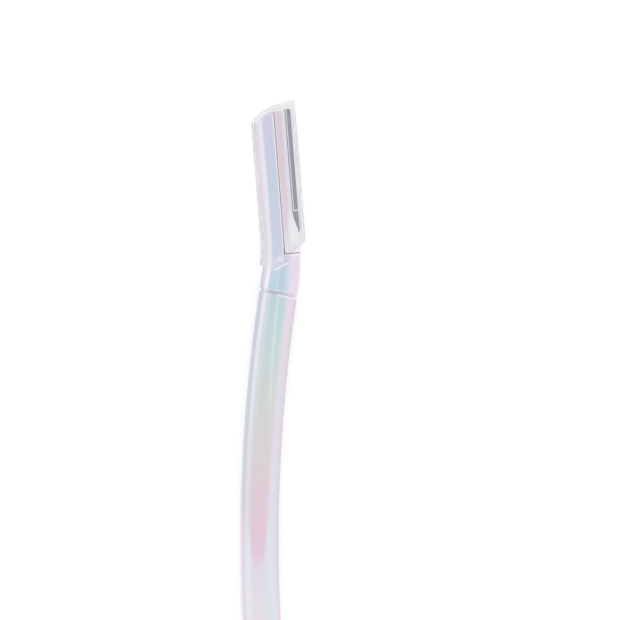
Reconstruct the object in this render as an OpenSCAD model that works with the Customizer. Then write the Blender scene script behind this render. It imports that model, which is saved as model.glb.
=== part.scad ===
// Eyebrow razor: a bowed pearl handle, a head tilted on a short neck, a clamped blade with a guard,
// and a clear cap. It lies on its back. X runs across to the blade's side, Y runs up to the head,
// and Z runs up from the resting plane. The origin is on the flat land under the handle, where the
// centreline runs straight along Y.

/* [Handle] */
// Width of the handle, the neck and the head
stick_w = 9.7; // [9.2:0.05:13]
// Thickness of the handle before its land is cut
stick_t = 5.6; // [5:0.1:8]
// Roundness of the section, from 2 for an ellipse to 4 for a squarish one
section_power = 2.4; // [2:0.1:4]
// Width of the flat land that the razor rests on
land_w = 3.2; // [1:0.1:5]
// Radius of the handle's bow
bow_r = 413.5; // [200:0.5:900]
// Length of the centreline from the origin up to the seam
bow_len = 62.2; // [40:0.2:90]
// Length of the centreline from the origin down to the tail's end
tail_len = 44; // [20:0.5:70]
// Length over which the tail rounds off
tail_round = 5.2; // [2:0.1:9]

/* [Neck] */
// Length from the seam to the corner where the neck's line meets the head's
neck_len = 9.7; // [9:0.1:16]
// Angle that the head turns away from the neck
bend_angle = 13.8; // [4:0.1:20]
// Radius of the bend's centreline
bend_r = 40; // [20:1:55]
// Turn of the seam away from square
seam_tilt = 2.9; // [0:0.1:12]
// Width of the groove along the seam
groove_w = 0.6; // [0.2:0.05:1.2]
// Depth of the groove along the seam
groove_d = 0.4; // [0.1:0.05:0.8]
// Radius of the hollows that thin the neck to the head
thin_r = 27.5; // [15:0.5:60]
// Distance below the corner where the head's full flat begins
thin_end = 1.35; // [1.2:0.05:3]
// Distance below the corner where the blade side begins to narrow
trim_y = 6.9; // [4:0.1:7]

/* [Tang] */
// Length of the tang that plugs into the handle
tang_len = 12; // [6:0.5:20]
// Width of the tang
tang_w = 5.4; // [3:0.1:7]
// Thickness of the tang
tang_t = 2.4; // [1.5:0.1:3.2]
// Corner radius of the tang
tang_round = 0.5; // [0.2:0.1:0.7]
// Clearance between fixed pieces that slip together
fit_gap = 0.08; // [0.02:0.01:0.2]

/* [Blade] */
// Width of the blade
blade_w = 3.85; // [3:0.05:4.2]
// Thickness of the blade
blade_t = 0.28; // [0.15:0.01:0.5]
// Width of the honed bevel
bevel_w = 0.3; // [0.15:0.01:0.6]
// Height of the blade's top above the corner
blade_top = 36.5; // [31:0.1:36.8]
// Height of the blade's foot above the corner
blade_foot = 3.8; // [2.8:0.1:5.2]
// Radius of the blade's top corner
blade_round = 0.6; // [0.2:0.1:1]
// Distance from the centreline of the notch in the blade's top
notch_x = 2.8; // [2.4:0.05:2.9]
// Depth of that notch, which keeps the steel's back below the clamp's top
notch_d = 0.9; // [0.5:0.1:2]
// Height above the corner where the clipped heel meets the cutting edge
heel_y = 6.4; // [5.8:0.1:8]
// Angle of the clipped heel from the cutting edge
heel_angle = 24; // [15:1:40]

/* [Head] */
// Height of the head's top above the corner
head_top = 36.1; // [31:0.1:36.4]
// Distance of the head's trimmed side from the centreline
backing_x = 3.95; // [3.8:0.05:4.35]
// Distance from the centreline where the slope down to the blade begins
slope_x = 0.8; // [0.4:0.1:1]
// Height above the corner where the shoulder's ramp begins
ramp_y = 2.7; // [1.5:0.1:4]
// Height above the corner where the shoulder ends
shoulder_y = 11.4; // [9:0.1:13]
// Thickness of the backing at its thin side
backing_t = 0.5; // [0.3:0.05:0.9]
// Radius of the posts that hold blade and clamp
post_r = 0.5; // [0.3:0.05:0.7]
// Length of a post above the blade
post_h = 0.7; // [0.4:0.05:0.8]
// Distance of the posts from the centreline
post_x = 1.7; // [1.5:0.05:1.9]
// Number of posts
post_count = 3; // [2:1:5]
// Height of the first post above the corner
post_first = 7.2; // [5:0.2:10]
// Distance of the last post from the head's top
post_last = 3.5; // [2:0.5:8]
// Radius of the snap nub
nub_r = 1; // [0.6:0.05:1.1]
// Height of the snap nub above the head's face
nub_h = 0.28; // [0.1:0.02:0.3]
// Distance of the nub from the centreline, away from the blade
nub_x = 1; // [0:0.1:2]
// Distance of the nub below the corner
nub_y = 0.75; // [0.7:0.05:1.3]

/* [Clamp] */
// Distance of the clamp's long seam from the centreline
clamp_x = 0.1; // [-0.5:0.05:0.5]
// Width of the seam round the clamp
clamp_gap = 0.12; // [0.05:0.01:0.3]
// Height of the clamp's foot above the corner
clamp_foot = 0.5; // [0.45:0.05:1.5]
// Distance of the clamp's blade side from the centreline
clamp_edge_x = 2.9; // [2.7:0.05:3]
// Thickness left at the clamp's blade side
clamp_edge_t = 0.7; // [0.4:0.05:1]
// Radius of the shoulder's hollow curve beside the heel
shoulder_r = 12; // [10:0.5:20]

/* [Guard] */
// Wall that wraps the cutting edge
guard_wall = 0.3; // [0.15:0.05:0.5]
// Space between the cutting edge and its guard
edge_gap = 0.08; // [0.02:0.01:0.15]
// Thickness of the guard's front and back
guard_t = 0.25; // [0.15:0.01:0.35]
// Width of the guard's long rail beside the clamp
rail_w = 0.26; // [0.2:0.01:0.5]
// Reach of the guard's lips over the cutting edge
lip_over = 0.2; // [0.1:0.01:0.25]
// Width of the bar across the guard's foot
bar_w = 0.4; // [0.2:0.01:0.8]
// Height of that bar above the corner
bar_y = 10.9; // [10.2:0.1:13]

/* [Cap] */
// Wall of the cap
cap_wall = 0.6; // [0.4:0.05:0.8]
// Space beside the head inside the cap
cap_gap = 0.2; // [0.15:0.01:0.4]
// Space over the head's face inside the cap
face_gap = 0.37; // [0.33:0.01:0.6]
// Space over the head's top inside the cap
top_gap = 0.5; // [0.3:0.05:0.9]
// Height of the cap's sharp top corner above the neck's corner
cap_top = 38.7; // [38.4:0.1:43]
// Radius of the cap's sloping top
cap_top_r = 20; // [17:0.5:40]
// Distance of that radius's centre from the centreline
cap_top_x = 7; // [6.8:0.1:9]
// Radius of the cap's back corner
cap_corner_r = 2.5; // [1.6:0.1:3]
// Radius of the cap's long edges
cap_edge_r = 1.5; // [1:0.1:2]
// Depth of the mouth's tongue below the corner
mouth_drop = 3.75; // [3.4:0.05:4]

/* [Hidden] */
$fn = 64;
sweep_fn = 720;
section_steps = 48;
arc_steps = 14;
corner_steps = 6;
overrun = 1;
// The bend's section is smaller by this much, and runs on this far inside what it joins
bend_inset = 0.03;
bend_overlap = 0.5;
// Reach of a cut that clears the part on every side
clear_reach = 2 * cap_top;
// Width of the tail's rounding against the stick's, so that the two cross cleanly
tail_share = 1.03;
half_w = stick_w / 2;
half_t = stick_t / 2;
// The land cuts off the section where it is as wide as the land
land_cut = half_t * (1 - pow(1 - pow(land_w / stick_w, section_power), 1 / section_power));
mid_z = half_t - land_cut;
// The head is as thin as a cap that lies level with the land allows
head_half = mid_z - cap_wall - face_gap;
bow_angle = to_angle(bow_len, bow_r);
tail_angle = to_angle(tail_len, bow_r);
bend_reach = bend_r * tan(bend_angle / 2);
// Reach along the bow that takes in the whole of the slanted seam
seam_reach = half_w * tan(seam_tilt) + overrun;
neck_angle = to_angle(neck_len - bend_reach, bow_r);
// Where the neck's blade side lies at the start of its trim
trim_x = half_w / cos(bend_angle) - trim_y * tan(bend_angle);
seat_z = -blade_t / 2;
edge_x = half_w - guard_wall - edge_gap;
blade_back_x = edge_x - blade_w;
heel_x = edge_x - (heel_y - blade_foot) * tan(heel_angle);
rail_x = clamp_edge_x + clamp_gap + fit_gap;
post_step = (head_top - post_last - post_first) / (post_count - 1);
nub_ball = (pow(nub_r, 2) + pow(nub_h, 2)) / (2 * nub_h);
cap_half_w = half_w + cap_gap + cap_wall;
cap_half_t = head_half + face_gap + cap_wall;
cap_top_y = cap_top - sqrt(pow(cap_top_r, 2) - pow(cap_top_x - cap_half_w, 2));
// The cap follows the bend past the neck's, so that its mouth is cut from a full wall
cap_sweep = bend_angle + 2 * to_angle(mouth_drop, bend_r);
// Corners of the mouth's curve: across as a share of the cap's half width, along as a share of the
// mouth's drop, and the rounding as a share of the drop
mouth_shares = [
    [-1.12, -0.5, 0.08],
    [-0.94, -0.52, 0.1],
    [-0.78, -1, 0.25],
    [-0.55, -1, 0.6],
    [0.133, -0.587, 0.12],
    [0.285, 0.04, 0.27],
    [0.78, 0.655, 0.4],
    [1.05, 0.95, 0],
    [3, 0.95, 0],
    [3, -6, 0],
    [-3, -6, 0],
    [-3, 3.6, 0]
];

function to_angle(length, radius) = length / radius * 180 / PI;

// Points along an arc about a centre
function arc(centre, r, from, to, steps = arc_steps) =
    [for (i = [0 : steps]) let (a = from + (to - from) * i / steps) centre + r * [cos(a), sin(a)]];

// The point as far past the second as the second is past the first
function beyond(first, second) = 2 * second - first;

function flat2(p) = [p[0], p[1]];

function toward(from, to) = (flat2(to) - flat2(from)) / norm(flat2(to) - flat2(from));

// The arc that rounds one corner [x, y, r] between its neighbours
function corner_arc(before, here, after) =
    let (
        back = toward(here, before),
        ahead = toward(here, after),
        half = acos(back * ahead) / 2,
        centre = flat2(here) + (back + ahead) / norm(back + ahead) * here[2] / sin(half),
        first = flat2(here) + back * here[2] / tan(half) - centre,
        last = flat2(here) + ahead * here[2] / tan(half) - centre,
        from = atan2(first[1], first[0]),
        turn = (atan2(last[1], last[0]) - from + 540) % 360 - 180
    )
    arc(centre, here[2], from, from + turn, corner_steps);

// A closed outline whose corners [x, y, r] are rounded by their third value
function rounded(corners) = [
    for (i = [0 : len(corners) - 1])
        let (
            count = len(corners),
            here = corners[i],
            before = corners[(i + count - 1) % count],
            after = corners[(i + 1) % count]
        )
        each here[2] > 0 ? corner_arc(before, here, after) : [flat2(here)]
];

function box_corners(w, t, r) = [
    [-w / 2, -t / 2, r],
    [w / 2, -t / 2, r],
    [w / 2, t / 2, r],
    [-w / 2, t / 2, r]
];

function signed_power(value, power) = sign(value) * pow(abs(value), power);

// A superellipse of half width a and half thickness b
function superellipse(a, b) = [
    for (i = [0 : section_steps - 1])
        let (t = 360 * i / section_steps)
        [a * signed_power(cos(t), 2 / section_power), b * signed_power(sin(t), 2 / section_power)]
];

// The closed end seen from above, brought in by one distance at the side and another at the top
function top_outline(side, top) =
    let (
        half = cap_half_w - side,
        wide = half + overrun,
        r = cap_top_r - top,
        corner_r = cap_corner_r - side,
        corner_x = corner_r - half,
        corner_y = cap_top_y + sqrt(pow(r - corner_r, 2) - pow(cap_top_x - corner_x, 2)),
        meet = atan2(corner_y - cap_top_y, corner_x - cap_top_x),
        start = atan2(sqrt(pow(r, 2) - pow(cap_top_x - wide, 2)), wide - cap_top_x)
    )
    concat(
        [[wide, 0]],
        arc([cap_top_x, cap_top_y], r, start, meet),
        arc([corner_x, corner_y], corner_r, meet, 180),
        [[-wide, corner_y], [-wide, 0]]
    );

module lifted() translate([0, 0, mid_z]) children();

// Places children on the bow's centreline, at an angle up from the origin
module on_bow(angle)
    translate([bow_r * (1 - cos(angle)), bow_r * sin(angle), 0]) rotate([0, 0, -angle]) children();

// The head's own frame, at the corner where the neck's line meets the head's
module at_head()
    on_bow(bow_angle + neck_angle) translate([0, bend_reach, 0]) rotate([0, 0, bend_angle]) children();

// Carries a section up the bow from one angle to another
module up_bow(from, to)
    translate([bow_r, 0, 0]) rotate([0, 0, 180 - to])
        rotate_extrude(angle = to - from, $fn = sweep_fn) translate([bow_r, 0]) children();

// Carries a section down round the bend, in the head's frame, running on at both ends
module round_bend(angle)
    translate([-bend_r, bend_reach, 0]) rotate([0, 0, -angle - to_angle(bend_overlap, bend_r)])
        rotate_extrude(angle = angle + 2 * to_angle(bend_overlap, bend_r), $fn = sweep_fn)
            translate([bend_r, 0]) children();

// Carries a section, drawn as [across, up], straight along the head
module up_head(from, to)
    translate([0, to, 0]) rotate([90, 0, 0]) linear_extrude(to - from) children();

// Carries a side profile, drawn as [along, up], across the whole head
module across_head()
    translate([-clear_reach / 2, 0, 0]) rotate([90, 0, 90]) linear_extrude(clear_reach) children();

// Gives an outline seen from above the whole depth of the part
module through() translate([0, 0, -stick_t]) linear_extrude(2 * stick_t) children();

module stick_section(inset = 0)
    intersection() {
        polygon(superellipse(half_w - inset, half_t - inset));
        translate([-stick_w, inset - mid_z]) square([2 * stick_w, 2 * stick_t]);
    }

// The handle's side of a line parallel to the seam, or the neck's side
module seam_side(offset, neck = false)
    on_bow(bow_angle) rotate([0, 0, -seam_tilt])
        translate([-clear_reach / 2, neck ? offset : offset - clear_reach, -stick_t])
            cube([clear_reach, clear_reach, 2 * stick_t]);

module tang(gap)
    on_bow(bow_angle) translate([0, -tang_len - gap, 0]) rotate([-90, 0, 0])
        linear_extrude(tang_len + gap + groove_w + overrun)
            polygon(rounded(box_corners(tang_w + 2 * gap, tang_t + 2 * gap, tang_round + gap)));

// What rounds the tail off, drawn with the tail's end at zero
module tail_corners(half)
    difference() {
        translate([-2 * half, -overrun]) square([4 * half, tail_round + overrun]);
        translate([0, tail_round]) polygon(superellipse(tail_share * half, tail_round));
    }

module tail_cut()
    on_bow(-tail_angle) {
        through() tail_corners(half_w);
        rotate([0, 90, 0]) translate([0, 0, -stick_w]) linear_extrude(2 * stick_w) tail_corners(half_t);
    }

module handle()
    color("lavenderblush") lifted() difference() {
        up_bow(-tail_angle, bow_angle + to_angle(seam_reach, bow_r)) stick_section();
        seam_side(0, neck = true);
        tang(fit_gap);
        tail_cut();
    }

// What thins the neck and levels the head's face
module thinning()
    translate([-clear_reach / 2, -thin_end, head_half]) {
        translate([0, 0, thin_r]) rotate([0, 90, 0])
            cylinder(r = thin_r, h = clear_reach, $fn = sweep_fn);
        cube([clear_reach, clear_reach, stick_t]);
    }

// What slopes the head down to the blade, except where the shoulder's ramp stands higher
module blade_slope(side_x, side_z)
    intersection() {
        up_head(-clear_reach, clear_reach) polygon([
            [slope_x, head_half],
            beyond([slope_x, head_half], [side_x, side_z]),
            [clear_reach, stick_t],
            [slope_x, stick_t]
        ]);
        across_head() polygon([
            [ramp_y, head_half],
            [shoulder_y, side_z],
            [clear_reach, side_z],
            [clear_reach, stick_t],
            [ramp_y, stick_t]
        ]);
    }

module posts(r, from, to)
    for (i = [0 : post_count - 1])
        translate([post_x, post_first + i * post_step, from]) cylinder(r = r, h = to - from);

// Room beyond the trimmed blade side of the head and the neck
module blade_side()
    through() polygon([
        [trim_x, -trim_y],
        [backing_x, 0],
        [backing_x, clear_reach],
        [clear_reach, clear_reach],
        [clear_reach, -trim_y]
    ]);

// The head before anything is cut from it
module head_blank()
    union() {
        round_bend(bend_angle) stick_section(bend_inset);
        intersection() {
            up_head(bend_reach, head_top) stick_section();
            through() polygon(top_outline(cap_wall + cap_gap, cap_wall + top_gap));
        }
    }

module nub()
    translate([-nub_x, -nub_y, 0]) intersection() {
        translate([0, 0, head_half + nub_h - nub_ball]) sphere(r = nub_ball);
        cylinder(r = 2 * nub_r, h = stick_t);
    }

module collar()
    difference() {
        up_bow(
            bow_angle - to_angle(seam_reach, bow_r),
            bow_angle + to_angle(seam_reach + groove_w, bow_r)
        )
            stick_section(groove_d);
        seam_side(0);
    }

module head_frame()
    color("lavender") lifted() {
        difference() {
            union() {
                up_bow(bow_angle - to_angle(seam_reach, bow_r), bow_angle + neck_angle) stick_section();
                at_head() head_blank();
            }
            seam_side(groove_w);
            at_head() {
                thinning();
                mirror([0, 0, 1]) thinning();
                mirror([0, 0, 1]) blade_slope(backing_x, blade_t / 2 + backing_t);
                blade_side();
                translate([clamp_x, clamp_foot - clamp_gap, blade_t / 2])
                    cube([stick_w, clear_reach, stick_t]);
                translate([blade_back_x - fit_gap, blade_foot - fit_gap, seat_z])
                    cube([stick_w, clear_reach, stick_t]);
            }
        }
        collar();
        tang(0);
        at_head() {
            nub();
            posts(post_r, seat_z - blade_t, blade_t / 2 + post_h);
        }
    }

module clamp_outline()
    difference() {
        translate([clamp_x + clamp_gap, clamp_foot])
            square([backing_x - clamp_x - clamp_gap, head_top - clamp_foot]);
        translate([clamp_edge_x, shoulder_y]) square([stick_w, clear_reach]);
        translate([clamp_edge_x + shoulder_r, shoulder_y]) circle(shoulder_r);
    }

module blade_clamp()
    color("thistle") lifted() at_head() difference() {
        intersection() {
            head_blank();
            translate([0, 0, blade_t / 2]) linear_extrude(stick_t) clamp_outline();
        }
        thinning();
        blade_slope(clamp_edge_x, blade_t / 2 + clamp_edge_t);
        blade_side();
        posts(post_r + fit_gap, 0, blade_t / 2 + post_h + fit_gap);
    }

module blade()
    color("silver") lifted() at_head() difference() {
        intersection() {
            up_head(blade_foot, blade_top) polygon([
                [blade_back_x, -blade_t / 2],
                [edge_x - bevel_w, -blade_t / 2],
                [edge_x, 0],
                [edge_x - bevel_w, blade_t / 2],
                [blade_back_x, blade_t / 2]
            ]);
            through() polygon(rounded([
                [blade_back_x - overrun, blade_foot, 0],
                [heel_x, blade_foot, 0],
                [edge_x, heel_y, 0],
                [edge_x, blade_top, blade_round],
                [notch_x, blade_top, 0],
                [notch_x, blade_top - notch_d, 0],
                [blade_back_x - overrun, blade_top - notch_d, 0]
            ]));
        }
        posts(post_r + fit_gap, -stick_t, stick_t);
    }

// The channel that wraps the cutting edge
module guard_channel()
    up_head(bar_y, head_top) polygon([
        [edge_x - lip_over, blade_t / 2],
        [edge_x + edge_gap, blade_t / 2],
        [edge_x + edge_gap, -blade_t / 2],
        [edge_x - lip_over, -blade_t / 2],
        [edge_x - lip_over, -blade_t / 2 - guard_t],
        [half_w, -blade_t / 2 - guard_t],
        [half_w, blade_t / 2 + guard_t],
        [edge_x - lip_over, blade_t / 2 + guard_t]
    ]);

module blade_guard()
    color("aliceblue") lifted() at_head() {
        guard_channel();
        translate([rail_x, bar_y, blade_t / 2]) {
            cube([half_w - rail_x, bar_w, guard_t]);
            cube([rail_w, head_top - bar_y, guard_t]);
        }
    }

module cap_section(inset)
    polygon(rounded(box_corners(
        2 * (cap_half_w - inset), 2 * (cap_half_t - inset), cap_edge_r - inset
    )));

// The cap's form with no mouth, brought in by its wall for the inside
module cap_form(inset)
    union() {
        round_bend(cap_sweep) cap_section(inset + bend_inset);
        intersection() {
            up_head(bend_reach, cap_top + overrun) cap_section(inset);
            through() polygon(top_outline(inset, inset));
        }
    }

module cap()
    color("white", 0.4) lifted() at_head() difference() {
        cap_form(0);
        cap_form(cap_wall);
        through() polygon(rounded([
            for (p = mouth_shares) [p[0] * cap_half_w, p[1] * mouth_drop, p[2] * mouth_drop]
        ]));
    }

handle();
head_frame();
blade_clamp();
blade();
blade_guard();
cap();
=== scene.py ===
"""Eyebrow razor: a bowed pearl stick, a tilted head with a clamped blade, and a clear cap."""

import math

import bmesh
import bpy
import numpy as np
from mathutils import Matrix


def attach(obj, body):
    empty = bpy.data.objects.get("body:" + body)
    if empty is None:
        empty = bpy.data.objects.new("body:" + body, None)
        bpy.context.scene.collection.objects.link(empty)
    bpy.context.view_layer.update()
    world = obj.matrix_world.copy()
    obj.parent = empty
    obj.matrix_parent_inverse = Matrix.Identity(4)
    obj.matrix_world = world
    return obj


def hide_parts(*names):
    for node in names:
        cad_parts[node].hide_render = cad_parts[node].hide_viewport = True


bl_info = {
    "name": "Eyebrow razor",
    "version": (1, 0, 0),
    "blender": (4, 5, 0),
    "location": "View3D > Sidebar > Razor",
    "description": "Makes the eyebrow razor's smooth pieces, finishes and stage round its frame",
    "category": "Object",
}

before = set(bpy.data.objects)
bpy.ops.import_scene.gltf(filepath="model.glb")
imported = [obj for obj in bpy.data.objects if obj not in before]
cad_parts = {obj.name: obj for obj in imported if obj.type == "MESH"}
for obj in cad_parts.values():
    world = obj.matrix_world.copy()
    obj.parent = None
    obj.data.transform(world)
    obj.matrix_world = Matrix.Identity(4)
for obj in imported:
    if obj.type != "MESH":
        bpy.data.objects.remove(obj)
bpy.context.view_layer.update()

MM = 0.001
# UVs are in centimetres, with the middle of the piece at a half.
UV_PER_METRE = 100
UV_MIDDLE = 0.5
MM_PER_UV = 1 / (UV_PER_METRE * MM)
# Sharper edges than this are shaded as edges, and points closer than this are one.
SHARP_ANGLE = math.radians(38)
MERGE = 2e-7
# The pearl: how far it is like metal, its roughness, and its drift and flakes to a metre.
PEARL_METAL = 0.45
PEARL_GLOSS = 0.22
DRIFT_SCALE = (260.0, 42.0, 260.0)
FLAKE_SCALE = 16000.0
# Share of the light that passes the cap as if nothing were there, seen straight on.
CAP_CLEARNESS = 0.6
# Strength of the light that the floor adds of its own where it is seen.
FLOOR_GLOW = 0.52
# Radius in millimetres of the head's rounded lip along the clamp's seam.
SEAM_LIP = 0.14
# Rows of the head's grid on the neck, and above the part beside the heel.
NECK_ROWS = 90
UPPER_ROWS = 39


def length(name, text, value):
    """A length property, given in millimetres and kept in metres."""
    return bpy.props.FloatProperty(
        name=name, description=text, default=value * MM, min=0.0, precision=5, unit="LENGTH"
    )


def number(name, text, value):
    """A property that is a plain number."""
    return bpy.props.FloatProperty(name=name, description=text, default=value, min=0.0)


def angle(name, text, value):
    """An angle property, given in degrees."""
    return bpy.props.FloatProperty(
        name=name, description=text, default=math.radians(value), subtype="ANGLE"
    )


def colour(name, text, value):
    """A colour property, given as it looks on screen from 0 to 255."""
    linear = [screen_to_linear(v / 255) for v in value]
    return bpy.props.FloatVectorProperty(
        name=name, description=text, default=linear, size=3, min=0.0, max=1.0, subtype="COLOR"
    )


def part(kind, name, text):
    """A group of settings that stands inside another."""
    return bpy.props.PointerProperty(type=kind, name=name, description=text)


def screen_to_linear(value):
    """The screen's curve undone: a straight foot, then a power."""
    return value / 12.92 if value <= 0.04045 else ((value + 0.055) / 1.055) ** 2.4


class StickSettings(bpy.types.PropertyGroup):
    """Sizes of the handle and of the section that runs on into the head."""

    width: length("Width", "Width of the stick", 9.7)
    thickness: length("Thickness", "Thickness before the land is cut", 5.6)
    roundness: number("Roundness", "Power of the section's superellipse", 2.4)
    land: length("Land", "Width of the flat that the razor rests on", 3.2)
    bow_radius: length("Bow radius", "Radius of the handle's bow", 413.5)
    bow_length: length("Length to the seam", "Centreline from the origin to the seam", 62.2)
    tail_length: length("Length to the tail", "Centreline from the origin to the tail's end", 44)
    tail_round: length("Tail rounding", "Length over which the tail rounds off", 5.2)
    lip: length("Lip", "Radius of the rounded lips beside the seam", 0.32)


class NeckSettings(bpy.types.PropertyGroup):
    """Sizes of the neck between the seam and the head."""

    length: length("Length", "From the seam to the corner between neck and head", 9.7)
    bend: angle("Bend", "Turn of the head away from the neck", 13.8)
    bend_radius: length("Bend radius", "Radius of the bend's centreline", 40)
    seam_tilt: angle("Seam tilt", "Turn of the seam away from square", 2.9)
    groove: length("Groove width", "Width of the groove along the seam", 0.6)
    groove_depth: length("Groove depth", "Depth of the groove along the seam", 0.4)
    hollow: length("Hollow radius", "Radius of the hollows that thin the neck", 27.5)
    hollow_end: length("Hollow end", "Distance below the corner where the flat begins", 1.35)
    trim: length("Trim start", "Distance below the corner where the side narrows", 6.9)


class HeadSettings(bpy.types.PropertyGroup):
    """Sizes of the head, its clamp and its snap nub."""

    top: length("Top", "Height of the head's top above the corner", 36.1)
    facet: length("Facet", "Where the spine's front facet begins, from the centreline", 2.55)
    facet_tilt: angle("Facet tilt", "Turn of the spine's front facet from the face", 25)
    spine: length("Spine facet", "Where the spine's side facet begins, from the centreline", 3.75)
    spine_tilt: angle("Spine tilt", "Turn of the spine's side facet from the face", 50)
    side: length("Side", "Trimmed side's distance from the centreline", 3.95)
    slope: length("Slope start", "Where the slope to the blade begins", 0.8)
    ramp: length("Ramp start", "Height where the shoulder's ramp begins", 2.7)
    shoulder: length("Shoulder", "Height where the shoulder ends", 11.4)
    backing: length("Backing", "Thickness of the backing at its side", 0.5)
    nub_radius: length("Nub radius", "Radius of the snap nub", 1.0)
    nub_height: length("Nub height", "Height of the snap nub", 0.28)
    nub_side: length("Nub side", "Nub's distance from the centreline", 1.0)
    nub_drop: length("Nub drop", "Nub's distance below the corner", 0.75)
    clamp_seam: length("Clamp seam", "Long seam's distance from the centreline", 0.1)
    clamp_gap: length("Clamp gap", "Width of the seam round the clamp", 0.12)
    clamp_foot: length("Clamp foot", "Height of the clamp's foot above the corner", 0.5)
    clamp_side: length("Clamp side", "Clamp's blade side from the centreline", 2.9)
    clamp_edge: length("Clamp edge", "Thickness left at the clamp's blade side", 0.7)
    clamp_hollow: length("Clamp hollow", "Radius of the hollow curve beside the heel", 12)


class BladeSettings(bpy.types.PropertyGroup):
    """Sizes of the blade and of its guard."""

    width: length("Width", "Width of the blade", 3.85)
    thickness: length("Thickness", "Thickness of the blade", 0.28)
    bevel: length("Bevel", "Width of the honed bevel", 0.3)
    top: length("Top", "Height of the blade's top above the corner", 36.5)
    foot: length("Foot", "Height of the blade's foot above the corner", 3.8)
    corner: length("Corner", "Radius of the blade's top corner", 0.6)
    notch: length("Notch", "Depth of the top notch that hides under the clamp", 0.9)
    notch_side: length("Notch side", "Notch's side from the centreline", 2.8)
    heel: length("Heel", "Height where the clipped heel meets the edge", 6.4)
    heel_angle: angle("Heel angle", "Angle of the clipped heel", 24)
    fit: length("Fit gap", "Clearance between fixed pieces", 0.08)
    wall: length("Guard wall", "Wall that wraps the cutting edge", 0.3)
    edge_gap: length("Edge gap", "Space between the edge and its guard", 0.08)
    guard: length("Guard thickness", "Thickness of the guard's front and back", 0.25)
    rail: length("Rail width", "Width of the rail beside the clamp", 0.26)
    lip: length("Lip", "Reach of the guard's lips over the edge", 0.2)
    bar: length("Bar width", "Width of the bar across the guard's foot", 0.4)
    bar_foot: length("Bar height", "Height of the bar above the corner", 10.9)


class CapSettings(bpy.types.PropertyGroup):
    """Sizes of the clear cap."""

    wall: length("Wall", "Wall of the cap", 0.6)
    gap: length("Side space", "Space beside the head", 0.2)
    face_gap: length("Face space", "Space over the head's face", 0.37)
    top_gap: length("Top space", "Space over the head's top", 0.5)
    top: length("Top", "Height of the sharp top corner", 38.7)
    top_radius: length("Top radius", "Radius of the sloping top", 20)
    top_centre: length("Top centre", "That radius's centre from the centreline", 7)
    corner: length("Back corner", "Radius of the back corner", 2.5)
    edge: length("Long edges", "Radius of the long edges", 1.5)
    drop: length("Mouth drop", "Depth of the mouth's tongue below the corner", 3.75)


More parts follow.
